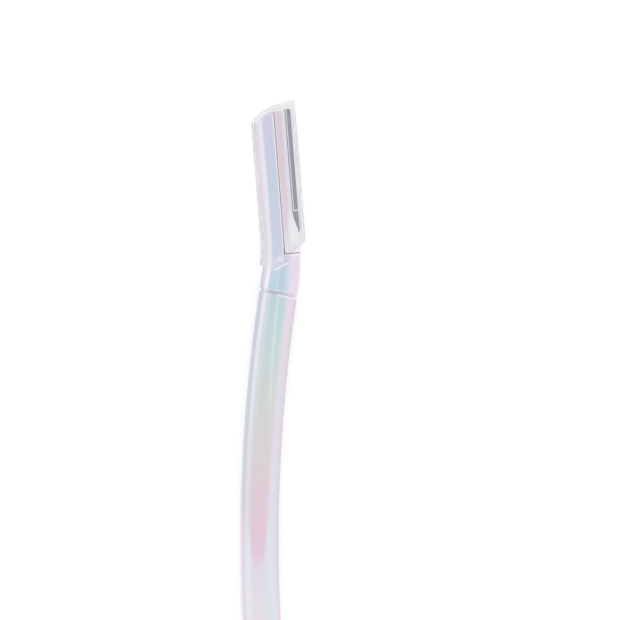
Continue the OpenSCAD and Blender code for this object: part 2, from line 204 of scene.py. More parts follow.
class FinishSettings(bpy.types.PropertyGroup):
    """Colours of the finishes, and of the painted highlights and shade."""

    # The band: the pearl's tint, darkened as a painted reflection of the dimmer space overhead.
    band: colour("Band", "Band at the seam", (188, 216, 219))
    band_green: colour("Green band", "Band a little below the seam", (199, 221, 218))
    band_mid: colour("Middle band", "Band in the upper middle", (211, 218, 210))
    band_grey: colour("Grey band", "Band in the middle", (221, 214, 212))
    band_pink: colour("Pink band", "Band in the lower middle", (229, 208, 212))
    band_low: colour("Low band", "Band near its tip", (232, 203, 215))
    band_tip: colour("Band tip", "Band at its tip", (235, 205, 226))
    flank: colour("Flank", "Flank at the seam", (230, 221, 230))
    flank_mid: colour("Middle flank", "Flank in the middle", (229, 223, 235))
    flank_low: colour("Low flank", "Flank beside the band's tip", (227, 221, 234))
    flank_tail: colour("Tail", "Middle of the handle near the tail", (236, 227, 234))
    stripe_low: colour("Low stripe", "Stripe right of the middle near the tail", (225, 229, 235))
    stripe_left: colour("Left stripe", "Stripe left of the middle near the tail", (234, 234, 241))
    edge: colour("Left edge", "Left edge at the seam", (200, 206, 230))
    edge_mid: colour("Middle left edge", "Left edge in the upper middle", (200, 216, 222))
    edge_low: colour("Low left edge", "Left edge in the lower middle", (212, 214, 216))
    edge_tail: colour("Tail edge", "Left edge near the tail", (236, 226, 236))
    flank_left: colour("Left flank", "Left of the band in the lower middle", (221, 220, 222))
    edge_top: colour("Top right edge", "Right edge near the seam", (212, 208, 215))
    edge_right: colour("Right edge", "Right edge near the tail", (220, 206, 220))
    # Painted highlights on the seams' lips, on the edge under the clamp's foot, on the clamp's edge
    # and on the nub.
    lip: colour("Lips", "Lips of the seams", (250, 246, 250))
    # Painted shade in the groove at the seam.
    groove: colour("Groove", "Bottom of the groove at the seam", (206, 190, 212))
    # Painted highlights along the left of the head and of the stick.
    highlight: colour("Light line", "Line along the left of the head", (255, 251, 254))
    painted_stick_highlight: colour("Stick's light line", "Line along the left of the stick", (238, 246, 252))
    neck: colour("Neck", "Front of the neck", (202, 218, 234))
    neck_deep: colour("Deep neck", "Right half of the neck's front", (189, 213, 224))
    neck_pale: colour("Pale neck", "Pale stripe in the neck's front", (211, 221, 238))
    pocket: colour("Pocket", "The clamp's pocket, in the seams' shadow", (112, 98, 122))
    neck_line: colour("Neck line", "Line beside the light line on the neck", (210, 217, 231))
    neck_right: colour("Right neck", "Stripe where the neck's front ends", (209, 218, 233))
    neck_grey: colour("Grey neck", "Stripe where the neck's flank begins", (227, 222, 232))
    neck_flank: colour("Neck flank", "Right flank of the neck", (238, 224, 239))
    # Painted light on the nub's dome, and painted shade round it.
    nub: colour("Nub", "The snap nub's dome", (240, 234, 244))
    painted_nub_shade: colour("Nub's shade", "Shaded side round the nub", (206, 203, 219))
    neck_edge: colour("Neck edge", "Left edge of the neck", (210, 207, 232))
    spine: colour("Spine", "Left edge of the head", (234, 231, 242))
    head_low: colour("Low face", "Foot of the head's face", (216, 222, 243))
    head: colour("Face", "Middle of the head's face", (210, 222, 244))
    head_deep: colour("Deep face", "Right half of the head's face", (209, 219, 241))
    head_right: colour("Right face", "Right half of the face's middle", (216, 222, 242))
    head_top: colour("Top of face", "Top of the head's face", (219, 216, 243))
    # Painted highlight along the face's rounded top edge.
    head_end: colour("End of face", "The face's last stretch below its top edge", (240, 236, 248))
    clamp: colour("Clamp", "Flat of the clamp", (231, 217, 227))
    clamp_top: colour("Clamp top", "Top of the clamp's flat", (228, 214, 223))
    clamp_foot: colour("Clamp foot", "Foot of the clamp", (247, 239, 250))
    clamp_slope: colour("Clamp slope", "Slope beside the blade", (240, 238, 248))
    # Painted highlight on the facet beside the blade's heel.
    shoulder: colour("Shoulder", "Facet beside the blade's heel", (252, 254, 255))
    steel: colour("Steel", "Dark streaks of the blade", (132, 140, 150))
    steel_light: colour("Light steel", "Light streaks of the blade", (170, 177, 187))
    # The honed bevel, painted brighter for its bright reflection.
    honed_steel_and_sheen: colour("Honed steel", "Bevel of the blade", (196, 200, 206))
    guard: colour("Guard", "The guard's milky plastic", (232, 234, 243))
    guard_light: colour("Light guard", "The guard's paler streaks", (244, 245, 251))
    cap: colour("Cap", "The cap's clear plastic", (247, 246, 246))
    cap_through: colour("Cap's depth", "What the cap's thin wall takes from light", (248, 247, 247))
    cap_closed: colour("Cap's end", "What the cap's closed end takes from light", (243, 242, 242))
    cap_edge: colour("Cap's edge", "The cap's wall seen edge on", (222, 222, 224))
    cap_edge_right: colour("Cap's right edge", "The same beside the blade's edge", (240, 240, 242))
    # A painted highlight along the mouth's rounded rim, and a paler tongue behind it.
    painted_rim_highlight: colour("Cap rim", "The frosted rim of the cap's mouth", (240, 248, 255))
    cap_veil: colour("Cap's tongue", "The milky plastic behind the rim", (255, 250, 255))


class StageSettings(bpy.types.PropertyGroup):
    """The camera and the floor."""

    centre: bpy.props.FloatVectorProperty(
        name="View centre", description="Point in the middle of the picture",
        default=(0.01262, 0.05799, 0.00272), size=3, subtype="TRANSLATION", unit="LENGTH",
    )
    span: length("View width", "Width of what the picture shows", 155)
    lens: number("Lens", "Focal length in millimetres", 200)
    floor: length("Floor size", "Half the floor's width", 3000)
    floor_drop: length("Floor drop", "How far the floor lies below the land", 0.1)


class RazorSettings(bpy.types.PropertyGroup):
    """Everything about the razor that can be changed."""

    stick: part(StickSettings, "Stick", "Sizes of the handle and its section")
    neck: part(NeckSettings, "Neck", "Sizes of the neck")
    head: part(HeadSettings, "Head", "Sizes of the head and the clamp")
    blade: part(BladeSettings, "Blade", "Sizes of the blade and its guard")
    cap: part(CapSettings, "Cap", "Sizes of the cap")
    finish: part(FinishSettings, "Finish", "Colours of the finishes")
    stage: part(StageSettings, "Stage", "Camera and floor")


class Layout:
    """Places worked out from the settings: the centreline, the head's frame and the section."""

    def __init__(self, settings):
        s, n, h, b, c = settings.stick, settings.neck, settings.head, settings.blade, settings.cap
        self.stick, self.neck, self.head, self.blade, self.cap = s, n, h, b, c
        self.half_w = s.width / 2
        self.half_t = s.thickness / 2
        self.mid_z = self.section(self.half_t, s.land / s.width)
        self.face = self.mid_z - c.wall - c.face_gap
        self.reach = n.bend_radius * math.tan(n.bend / 2)
        self.bend_start = s.bow_length + n.length - self.reach
        self.bend_end = self.bend_start + n.bend_radius * n.bend
        self.lean = self.bend_start / s.bow_radius
        self.tilt = self.lean - n.bend
        corner = self.on_bow(np.array(self.bend_start), np.array(0.0))
        self.corner = corner + self.reach * np.array([math.sin(self.lean), math.cos(self.lean)])
        self.trim_x = self.half_w / math.cos(n.bend) - n.trim * math.tan(n.bend)
        self.edge_x = self.half_w - b.wall - b.edge_gap
        self.cap_half_w = self.half_w + c.gap + c.wall
        self.cap_half_t = self.face + c.face_gap + c.wall
        self.cap_top_y = c.top - math.sqrt(c.top_radius**2 - (c.top_centre - self.cap_half_w) ** 2)

    def section(self, half, share):
        """Height of the section at a share of its half width: a superellipse of that half."""
        power = self.stick.roundness
        return half * (1 - share**power) ** (1 / power)

    def on_bow(self, s, u):
        """A point u across at a length s up the bow: a circle about a centre out on the right."""
        radius, turn = self.stick.bow_radius, s / self.stick.bow_radius
        return np.stack(
            [radius - (radius - u) * np.cos(turn), (radius - u) * np.sin(turn)], axis=-1
        )

    def from_head(self, u, v):
        """A point u across and v up in the head's frame, turned by the head's tilt."""
        c, s = math.cos(self.tilt), math.sin(self.tilt)
        return self.corner + np.stack([u * c + v * s, -u * s + v * c], axis=-1)

    def to_head(self, plan):
        """The inverse of from_head."""
        c, s = math.cos(self.tilt), math.sin(self.tilt)
        d = plan - self.corner
        return d[..., 0] * c - d[..., 1] * s, d[..., 0] * s + d[..., 1] * c

    def up_the_head(self, nodes):
        """Height up the head as a material reads it from Object coordinates, in millimetres."""
        x, y, _z = nodes.parts(nodes.on_object())
        c, s = math.cos(self.tilt) / MM, math.sin(self.tilt) / MM
        return x * s + y * c - (self.corner[0] * s + self.corner[1] * c)

    def on_bend(self, turn, u):
        """A point u across, at an angle down round the bend from the head's end."""
        radius = self.neck.bend_radius
        return (radius + u) * np.cos(turn) - radius, self.reach - (radius + u) * np.sin(turn)

    def along(self, s, u):
        """A point u across at a length s up the centreline: bow, then bend, then straight."""
        s, u = np.broadcast_arrays(s, u)
        turn = np.clip((self.bend_end - s) / self.neck.bend_radius, 0, self.neck.bend)
        bend_u, bend_v = self.on_bend(turn, u)
        straight = np.maximum(s - self.bend_end, 0)
        upper = self.from_head(bend_u, bend_v + straight)
        lower = self.on_bow(np.minimum(s, self.bend_start), u)
        return np.where((s < self.bend_start)[..., None], lower, upper)

    def at_height(self, v, u):
        """Length up the centreline at which the line u across is v up in the head's frame."""
        radius = self.neck.bend_radius
        turn = np.arcsin(np.maximum(self.reach - v, 0) / (radius + u))
        return self.bend_end - radius * turn + np.maximum(v - self.reach, 0)

    def seam(self, u):
        """Length up the centreline at which the slanted seam crosses, u across."""
        return self.stick.bow_length - u * math.tan(self.neck.seam_tilt)

    def seam_on_head(self):
        """The seam in the head's frame, as its height at the centreline and its rise across."""
        ends = np.array([-self.half_w, self.half_w])
        _u, v = self.to_head(self.along(self.seam(ends), ends))
        return v.mean() / MM, (v[1] - v[0]) / (2 * self.half_w)

    def closed_end(self, u, side, top):
        """Height of the closed end at u, brought in by side and top: a big arc, then a corner."""
        c = self.cap
        half = self.cap_half_w - side
        big, small = c.top_radius - top, c.corner - side
        x = small - half
        y = self.cap_top_y + math.sqrt((big - small) ** 2 - (c.top_centre - x) ** 2)
        meet = x - small * (c.top_centre - x) / (big - small)
        arc = self.cap_top_y + np.sqrt(big**2 - (u - c.top_centre) ** 2)
        corner = y + np.sqrt(np.maximum(small**2 - (u - x) ** 2, 0))
        return np.where(u < meet, corner, arc)

    def head_end(self, u):
        """Height of the head's end at u: level, but nowhere past the cap's space."""
        c = self.cap
        return np.minimum(self.closed_end(u, c.wall + c.gap, c.wall + c.top_gap), self.head.top)

    def fall(self, at, start, end, low):
        """Height of a flat that falls from the face at start to low at end."""
        return self.face - (at - start) * (self.face - low) / (end - start)


def least(a, b, blend):
    """The lesser of two heights, with a rounded corner of that size where they cross."""
    h = np.clip(0.5 + 0.5 * (b - a) / blend, 0, 1)
    return b + (a - b) * h - blend * h * (1 - h)


def most(a, b, blend):
    return -least(-a, -b, blend)


def rounding(distance, radius):
    """How far a rounded edge has dropped at a distance in from the edge: a quarter circle."""
    inside = np.clip(radius - distance, 0, radius)
    return radius - np.sqrt(np.maximum(radius**2 - inside**2, 0))


def edged(top, radius, *distances):
    """A height less its rounded edges, from the distances in from each edge."""
    for distance in distances:
        top = top - rounding(distance, radius)
    return top


def quarter_turn(count):
    return np.linspace(0, math.pi / 2, count)


def half_section(count, power):
    """Half a superellipse from left to right: minus cosine across and sine up, to 2 / power."""
    t = np.linspace(0, math.pi, count)
    across = -np.sign(np.cos(t)) * np.abs(np.cos(t)) ** (2 / power)
    return across, np.abs(np.sin(t)) ** (2 / power)


def eased(count, low=0.0, high=1.0):
    """Values from low to high, closer together at both ends: half a cosine wave."""
    return low + (high - low) * (1 - np.cos(np.linspace(0, math.pi, count))) / 2


def shares(count):
    """A column of equal steps that begin one step above 0 and end at 1."""
    return np.linspace(0, 1, count + 1)[1:, None]


def grid_faces(index, flip=False):
    """Quads over a grid of vertex numbers, facing up where the grid runs up and to the right."""
    quads = np.stack(
        [index[:-1, :-1], index[:-1, 1:], index[1:, 1:], index[1:, :-1]], axis=-1
    ).reshape(-1, 4)
    return quads[:, ::-1] if flip else quads


def build(name, points, faces, uv):
    """A mesh object from point and face arrays, with doubles merged and a UV per point."""
    mesh = bpy.data.meshes.new(name)
    mesh.from_pydata(points.reshape(-1, 3).tolist(), [], faces.tolist())
    layer = mesh.uv_layers.new(name="UVMap")
    corners = np.zeros(len(mesh.loops), np.int32)
    mesh.loops.foreach_get("vertex_index", corners)
    layer.data.foreach_set("uv", uv.reshape(-1, 2)[corners].astype(np.float32).ravel())
    work = bmesh.new()
    work.from_mesh(mesh)
    bmesh.ops.remove_doubles(work, verts=work.verts, dist=MERGE)
    bmesh.ops.dissolve_degenerate(work, edges=work.edges, dist=MERGE)
    work.to_mesh(mesh)
    work.free()
    mesh.polygons.foreach_set("use_smooth", np.ones(len(mesh.polygons), bool))
    mesh.set_sharp_from_angle(angle=SHARP_ANGLE)
    piece = bpy.data.objects.new(name, mesh)
    bpy.context.scene.collection.objects.link(piece)
    return piece


def closed_form(upper, lower, uv, near_end=True):
    """Points, faces and UVs of the closed form between an upper and a lower grid of points."""
    rows, columns = upper.shape[:2]
    over = np.arange(rows * columns).reshape(rows, columns)
    under = over + over.size
    points = np.concatenate([upper.reshape(-1, 3), lower.reshape(-1, 3)])
    faces = np.concatenate([
        grid_faces(over),
        grid_faces(under, flip=True),
        grid_faces(np.stack([under[:, 0], over[:, 0]], axis=1)),
        grid_faces(np.stack([over[:, -1], under[:, -1]], axis=1)),
        grid_faces(np.stack([over[-1], under[-1]])),
        grid_faces(np.stack([under[0], over[0]]) if near_end else over[:1]),
    ])
    flat = uv.reshape(-1, 2)
    return points, faces, np.concatenate([flat, flat])


def lifted(plan, z):
    """Plan points with their height."""
    return np.concatenate([plan, np.broadcast_to(z, plan.shape[:2])[..., None]], axis=-1)


def slab(plan, top, bottom, uv, near_end=True):
    """A closed form from a top and a bottom height over one plan grid."""
    return closed_form(lifted(plan, top), lifted(plan, bottom), uv, near_end)


def joined(parts):
    """Several sets of points, faces and UVs as one."""
    points, faces, uvs, start = [], [], [], 0
    for p, f, t in parts:
        points.append(p.reshape(-1, 3))
        faces.append(f + start)
        uvs.append(t.reshape(-1, 2))
        start += len(points[-1])
    return np.concatenate(points), np.concatenate(faces), np.concatenate(uvs)


def place(u, v):
    """UVs in centimetres: across from the middle, and along."""
    across, along = np.broadcast_arrays(u * UV_PER_METRE + UV_MIDDLE, v * UV_PER_METRE)
    return np.stack([across, along], axis=-1)


def handle_shape(lay):
    """The section carried up the bow. Its size follows a superellipse at the tail, where it
    closes to a point, and a quarter circle at the slanted seam, where it ends in a flat."""
    s = lay.stick
    across, up = half_section(97, s.roundness)
    start = s.tail_round - s.tail_length
    tail = s.tail_round * (1 - np.cos(quarter_turn(26)))
    body, lip = shares(120), quarter_turn(9)[1:]
    first, last = len(tail), len(tail) + len(body)
    size = np.concatenate([
        lay.section(1, (s.tail_round - tail) / s.tail_round), np.ones(len(body) + len(lip)),
    ])
    inset = np.concatenate([np.zeros(last), s.lip * (1 - np.cos(lip))])
    u = (lay.half_w * size - inset)[:, None] * across
    end = lay.seam(u) - s.lip
    rows = np.concatenate([
        np.repeat((tail - s.tail_length)[:, None], len(across), axis=1),
        start + body * (end[first:last] - start),
        end[last:] + (s.lip * np.sin(lip))[:, None],
    ])
    top = (lay.half_t * size - inset)[:, None] * up
    land = np.minimum(lay.mid_z - inset, lay.mid_z * size)[:, None]
    bottom = np.where(up == 0, 0, -least(top, land, 0.05 * MM))
    return slab(lay.along(rows, u), top, bottom, place(u, rows))


def head_frame_shape(lay):
    """The section carried from the collar round the bend and up the head, cut by heights: the
    hollowed face, the clamp's pocket, the slope of the back and the nub's dome."""
    s, n, h, b = lay.stick, lay.neck, lay.head, lay.blade
    across, _up = half_section(121, s.roundness)
    wall_at = h.clamp_seam / lay.half_w
    # Lines of the section too close to the pocket's wall give way to the lip's finer ones.
    lips = wall_at - np.array([SEAM_LIP, 0.1, 0.07, 0.045, 0.025, 0.01, 0]) * MM / lay.half_w
    left, right = across[across < wall_at - 0.035], across[across > wall_at + 0.02]
    q = np.concatenate([left, lips, [wall_at, wall_at], right])
    sunk = np.concatenate([np.zeros(len(left) + len(lips)), [0.5, 1], np.ones(len(right))])
    hinge = 1 - np.abs(q - wall_at) / np.where(q < wall_at, 1 + wall_at, 1 - wall_at)
    # Rows by kind from 0 to 5: collar and lip, neck, beside the clamp's foot, beside the heel,
    # the rest, and the rounded end.
    lip, turn = quarter_turn(8), quarter_turn(8)[1:]
    offset = np.concatenate([[0, n.groove], n.groove + s.lip * (1 - np.cos(lip))])
    inset = np.concatenate([[n.groove_depth] * 2, s.lip * (1 - np.sin(lip))])
    pocket, step, edge = h.clamp_foot - h.clamp_gap, b.foot - b.fit, 0.35 * MM
    v_clamp = np.concatenate([[pocket], np.linspace(pocket, step, 24)])
    v_blade = np.linspace(step, step + 12 * MM, 44)
    v_seam = np.concatenate([v_clamp, v_blade])
    start, end_rows = len(offset) + NECK_ROWS, UPPER_ROWS + len(turn)
    kind = np.repeat(
        np.arange(6), [len(offset), NECK_ROWS, len(v_clamp), len(v_blade), UPPER_ROWS, len(turn)]
    )[:, None]
    bent = bend_shift(lay, v_seam, h.clamp_seam)
    shift = np.concatenate([
        np.zeros(len(offset)), bent[0] * np.linspace(0, 1, NECK_ROWS), bent, np.zeros(end_rows),
    ])[:, None]
    all_in = np.concatenate([inset, np.zeros(len(kind) - len(inset))])[:, None]
    u = (lay.half_w - all_in) * q + shift * hinge
    low = lay.seam(u[:len(offset)]) + offset[:, None]
    foot = lay.at_height(pocket, u[start - 1])
    full = u[-1]
    line = lay.head_end(full) - edge
    rows = np.concatenate([
        low,
        low[-1] + shares(NECK_ROWS) * (foot - low[-1]),
        lay.at_height(v_seam[:, None], u[start:-end_rows]),
        lay.at_height(v_blade[-1] + shares(UPPER_ROWS) * (line - v_blade[-1]), full),
        lay.at_height(line + (edge * np.sin(turn))[:, None], full),
    ])
    shrink = np.where(kind == 5, 1, 0) * np.concatenate(
        [np.zeros(len(kind) - len(turn)), edge * (1 - np.cos(turn))]
    )[:, None]
    hu, hv = lay.to_head(lay.along(rows, u))
    side = h.side + np.minimum(hv, 0) * (h.side - lay.trim_x) / n.trim
    side = side + np.maximum(-n.trim - hv, 0)
    hu = least(hu, side, 0.1 * MM)
    # Heights above and below the centreline.
    share = np.clip(np.abs(u) / (lay.half_w - all_in), 0, 1)
    section = lay.section(lay.half_t - all_in, share)
    rise = np.clip(-(hv + n.hollow_end), 0, n.hollow * 0.99)
    face = lay.face + n.hollow - np.sqrt(n.hollow**2 - rise**2) - shrink
    face = np.where(kind == 0, lay.half_t, face)
    facet = face - (-h.facet - u) * math.tan(h.facet_tilt)
    spine = face - (h.spine - h.facet) * math.tan(h.facet_tilt)
    spine = spine - (-h.spine - u) * math.tan(h.spine_tilt)
    soft = np.where(kind == 0, 0.001 * MM, 0.25 * MM)
    cut = least(section, least(face, np.maximum(least(facet, spine, soft), 0.3 * MM), soft), soft)
    distance = np.hypot(hu + h.nub_side, hv + h.nub_drop)
    ball = (h.nub_radius**2 + h.nub_height**2) / (2 * h.nub_height)
    dome = lay.face + h.nub_height - ball + np.sqrt(np.maximum(ball**2 - distance**2, 0))
    top = np.where(distance < h.nub_radius * 1.2, most(cut, dome, 0.05 * MM), cut)
    beside = np.arange(len(kind))[:, None] > start
    sunken = np.minimum(top, np.where(kind >= 3, -b.thickness / 2, b.thickness / 2))
    lipped = top - rounding(h.clamp_seam - hu, SEAM_LIP * MM)
    pocketed = np.where(sunk == 0, lipped, np.where(sunk == 1, sunken, (lipped + sunken) / 2))
    top = np.where(beside, pocketed, top)
    back_low = b.thickness / 2 + h.backing
    ramp = np.maximum(lay.fall(hv, h.ramp, h.shoulder, back_low), back_low)
    back = most(lay.fall(hu, h.slope, h.side, back_low), ramp, 0.1 * MM) - shrink
    back = least(cut, np.where(kind == 0, lay.half_t, back), 0.01 * MM)
    bottom = -np.minimum(back, lay.mid_z - all_in)
    outer = share > 1 - 1e-9
    top, bottom = np.where(outer, 0, top), np.where(outer, 0, bottom)
    return slab(lay.from_head(hu, hv), top, bottom, place(u, hv))


def bend_shift(lay, v, u):
    """How far the line that reaches u across at a height v starts from u, below the bend's end."""
    radius = lay.neck.bend_radius
    return np.sqrt((u + radius) ** 2 + np.maximum(lay.reach - v, 0) ** 2) - radius - u


def clamp_shape(lay):
    """A plate whose blade side hollows round the heel. Its height is the face, or the greater
    of the slope to the blade and the shoulder's ramp, with every edge rounded off."""
    h, b = lay.head, lay.blade
    t = eased(181)[:, None]
    near = h.clamp_seam + h.clamp_gap
    v = h.clamp_foot + t * (h.top - h.clamp_foot)
    hollow = h.clamp_side + h.clamp_hollow - np.sqrt(
        np.maximum(h.clamp_hollow**2 - np.clip(h.shoulder - v, 0, h.clamp_hollow) ** 2, 0)
    )
    far = least(hollow, h.side, 0.15 * MM)
    u = near + eased(61) * (far - near)
    end = lay.head_end(u)
    v = h.clamp_foot + t * (end - h.clamp_foot)
    low = b.thickness / 2 + h.clamp_edge
    ramp = np.maximum(lay.fall(v, h.ramp, h.shoulder, low), low)
    sloped = most(lay.fall(u, h.slope, h.clamp_side, low), ramp, 0.08 * MM)
    top = least(lay.section(lay.half_t, u / lay.half_w), sloped, 0.12 * MM)
    top = least(top, lay.face, 0.12 * MM)
    top = edged(top, 0.16 * MM, u - near, far - u, v - h.clamp_foot, end - v)
    return slab(lay.from_head(u, v), top, b.thickness / 2, place(u, v))


def blade_shape(lay):
    """A strip with a clipped heel and a rounded top corner, thinned to its edge by a bevel."""
    b = lay.blade
    back = lay.edge_x - b.width
    heel_x = lay.edge_x - (b.heel - b.foot) * math.tan(b.heel_angle)
    clipped = (b.heel - b.foot) / (b.top - b.foot)
    t = np.concatenate([
        np.linspace(0, clipped, 12)[:-1], np.linspace(clipped, 0.97, 60), eased(12, 0.97, 1)[1:]
    ])
    v = (b.foot + t * (b.top - b.foot))[:, None]
    far = np.minimum(lay.edge_x, heel_x + (v - b.foot) * math.tan(b.heel_angle))
    step = (b.notch_side - back) / (lay.edge_x - back)
    x = np.concatenate([
        np.linspace(0, step - 0.02, 8), np.linspace(step, 0.85, 8), np.linspace(0.85, 1, 16)[1:]
    ])
    u = back + x * (far - back)
    drop = rounding(lay.edge_x - u, b.corner)
    drop = drop + np.clip((b.notch_side - u) / b.fit, 0, 1) * b.notch
    v = b.foot + t[:, None] * (b.top - drop - b.foot)
    half = np.minimum(b.thickness / 2, (lay.edge_x - u) * b.thickness / 2 / b.bevel)
    half = np.maximum(half, 0.004 * MM)
    return slab(lay.from_head(u, v), half, -half, place(u, v))


def bar_shape(lay, u0, u1, v0, v1, z0, z1, edge):
    """A straight bar with rounded top edges, from heights and plan distances."""
    u, v = np.meshgrid(eased(13, u0, u1), eased(41, v0, v1))
    top = edged(z1, edge, u - u0, u1 - u, v - v0, v1 - v)
    return slab(lay.from_head(u, v), top, z0, place(u, v))


def channel_shape(lay, v0, v1):
    """A ribbon folded round the cutting edge: its outer line has rounded corners, its inner line
    sharp ones, and both are carried straight up the head."""
    b = lay.blade
    half, deep, edge = b.thickness / 2, b.thickness / 2 + b.guard, 0.14 * MM
    lip, web, side = lay.edge_x - b.lip, lay.edge_x + b.edge_gap, lay.half_w
    run, turn = np.linspace(lip, side - edge, 5), quarter_turn(7)
    outer_u = np.concatenate([run, side - edge + edge * np.sin(turn)])
    outer_z = np.concatenate([np.full(len(run), deep), deep - edge + edge * np.cos(turn)])
    inner_u = np.concatenate([np.linspace(lip, web, len(run)), np.full(len(turn), web)])
    v = np.linspace(v0, v1, 60)[:, None]
    outer, inner = (
        lifted(lay.from_head(np.concatenate([u, u[::-1]]), v), np.concatenate([z, -z[::-1]]))
        for u, z in ((outer_u, outer_z), (inner_u, np.full(len(inner_u), half)))
    )
    return closed_form(outer, inner, place(np.concatenate([outer_u, outer_u[::-1]]), v))


def guard_shape(lay):
    """A rail beside the clamp, a bar across the blade and a channel round its edge."""
    h, b = lay.head, lay.blade
    half, deep, edge = b.thickness / 2, b.thickness / 2 + b.guard, 0.07 * MM
    rail, foot = h.clamp_side + h.clamp_gap + b.fit, b.bar_foot
    return joined([
        bar_shape(lay, rail, rail + b.rail, foot, b.top, half, deep, edge),
        bar_shape(lay, rail, lay.edge_x, foot, foot + b.bar, half, deep - 0.02 * MM, edge),
        channel_shape(lay, foot, h.top),
    ])


# Corners of the mouth's curve: across as a share of the cap's half width, along as a share of the
# mouth's drop, and the rounding as a share of the drop.
MOUTH_SHARES = [
    (-3.0, 3.6, 0.0), (-1.12, -0.5, 0.08), (-0.94, -0.52, 0.1), (-0.78, -1.0, 0.25),
    (-0.55, -1.0, 0.6), (0.133, -0.587, 0.12), (0.285, 0.04, 0.27), (0.78, 0.655, 0.4),
    (1.05, 0.95, 0.0), (3.0, 0.95, 0.0),
]


def mouth_height(lay, u):
    """Height of the mouth's curve at u: straight runs between the corners, each corner rounded
    by its own arc, drawn as a line of points and read off by interpolation."""
    w, d = lay.cap_half_w, lay.cap.drop
    p = np.array(MOUTH_SHARES)
    xy, r = p[:, :2] * [w, d], p[:, 2] * d
    line = [xy[0]]
    for i in range(1, len(xy) - 1):
        back, ahead = xy[i - 1] - xy[i], xy[i + 1] - xy[i]
        back, ahead = back / np.linalg.norm(back), ahead / np.linalg.norm(ahead)
        half = math.acos(np.clip(back @ ahead, -1, 1)) / 2
        if r[i] == 0:
            line.append(xy[i])
            continue
        centre = xy[i] + (back + ahead) / np.linalg.norm(back + ahead) * r[i] / math.sin(half)
        a, z = [xy[i] + way * r[i] / math.tan(half) - centre for way in (back, ahead)]
        first, last = math.atan2(a[1], a[0]), math.atan2(z[1], z[0])
        swing = (last - first + 3 * math.pi) % (2 * math.pi) - math.pi
        turn = first + swing * np.linspace(0, 1, 12)
        line.extend(centre + r[i] * np.stack([np.cos(turn), np.sin(turn)], axis=1))
    line = np.array(line)
    return np.interp(u, line[:, 0], line[:, 1])


def cap_wall(lay, inset, edge):
    """Across, along and height of the cap's front half, brought in by inset: a rounded rectangle
    swept from the mouth's curve round the bend to the closed end, where it rounds over."""
    half_w, half_t = lay.cap_half_w - inset, lay.cap_half_t - inset
    corner = lay.cap.edge - inset
    arc, side = quarter_turn(18), np.linspace(0, 1, 6)[:-1]
    left_u = np.concatenate([np.full(len(side), -half_w), -half_w + corner * (1 - np.cos(arc))])
    left_z = np.concatenate([side * (half_t - corner), half_t - corner * (1 - np.sin(arc))])
    flat_u = np.linspace(-half_w + corner, half_w - corner, 130)[1:-1]
    u = np.concatenate([left_u, flat_u, -left_u[::-1]])
    z = np.concatenate([left_z, np.full(len(flat_u), half_t), left_z[::-1]])
    # The mouth's curve is level across, so each line's angle round the bend is found in rounds.
    turn, radius = np.zeros_like(u), lay.neck.bend_radius + u
    for _ in range(12):
        bent_u, _v = lay.on_bend(turn, u)
        turn = np.arcsin(np.clip((lay.reach - mouth_height(lay, bent_u)) / radius, 0, 0.6))
    low_u, low_v = lay.on_bend(turn * (1 - np.linspace(0, 1, 40)**1.6)[:, None], u)
    end = lay.closed_end(u, inset, inset) - edge
    over = shares(7) * math.pi / 2
    v = np.concatenate([
        low_v, lay.reach + shares(69) * (end - lay.reach), end + edge * np.sin(over),
    ])
    shrink = np.concatenate([np.zeros((len(v) - len(over), 1)), edge * (1 - np.cos(over))])
    u = np.concatenate([low_u, np.broadcast_to(u, (len(v) - len(low_v), len(u)))])
    rim = rounding(v - v[0], 0.22 * MM) * np.sign(0.5 * lay.cap.wall - inset)
    return u, v, np.where(z > 0, np.maximum(z - shrink - rim, 0), 0)


def cap_shape(lay):
    """Two such surfaces, one a wall's thickness inside the other, joined round the mouth."""
    parts = []
    for inset, edge in ((0.0, 0.45 * MM), (lay.cap.wall, 0.25 * MM)):
        u, v, z = cap_wall(lay, inset, edge)
        points, faces, uv = slab(lay.from_head(u, v), z, -z, place(u, v - v[0]), near_end=False)
        parts.append((points, faces[:, ::-1] if inset else faces, uv))
    points, faces, uv = joined(parts)
    outer = np.arange(u.shape[1])
    inner = outer + 2 * u.size
    rims = [grid_faces(np.stack([inner, outer])), grid_faces(np.stack([outer, inner]) + u.size)]
    return points, np.concatenate([faces, *rims]), uv


class Output:
    """What a node puts out; outputs that are numbers can be used in sums like numbers."""

    def __init__(self, nodes, socket):
        self.nodes = nodes
        self.socket = socket

    def __add__(self, other):
        return self.nodes.math("ADD", self, other)

    def __sub__(self, other):
        return self.nodes.math("SUBTRACT", self, other)

    def __rsub__(self, other):
        return self.nodes.math("SUBTRACT", other, self)

    def __mul__(self, other):
        return self.nodes.math("MULTIPLY", self, other)

    def __abs__(self):
        return self.nodes.math("ABSOLUTE", self)

    def most(self, other):
        """The greater of the two."""
        return self.nodes.math("MAXIMUM", self, other)

    def share(self, low, high):
        """How far from low to high, as 0 to 1."""
        return (self - low) * (1 / (high - low))

    def step(self, low, high):
        """A smooth step from 0 at low to 1 at high."""
        ends = {"Value": self, "From Min": low, "From Max": high}
        return self.nodes.out("MapRange", ends, interpolation_type="SMOOTHSTEP")

    def band(self, low, high, low_soft, high_soft):
        """A mask between two lines, with its own softness at each."""
        return self.nodes.use("Soft band", make_soft_band, {
            "Value": self, "Low": low, "High": high,
            "Low softness": low_soft, "High softness": high_soft,
        })["Mask"]


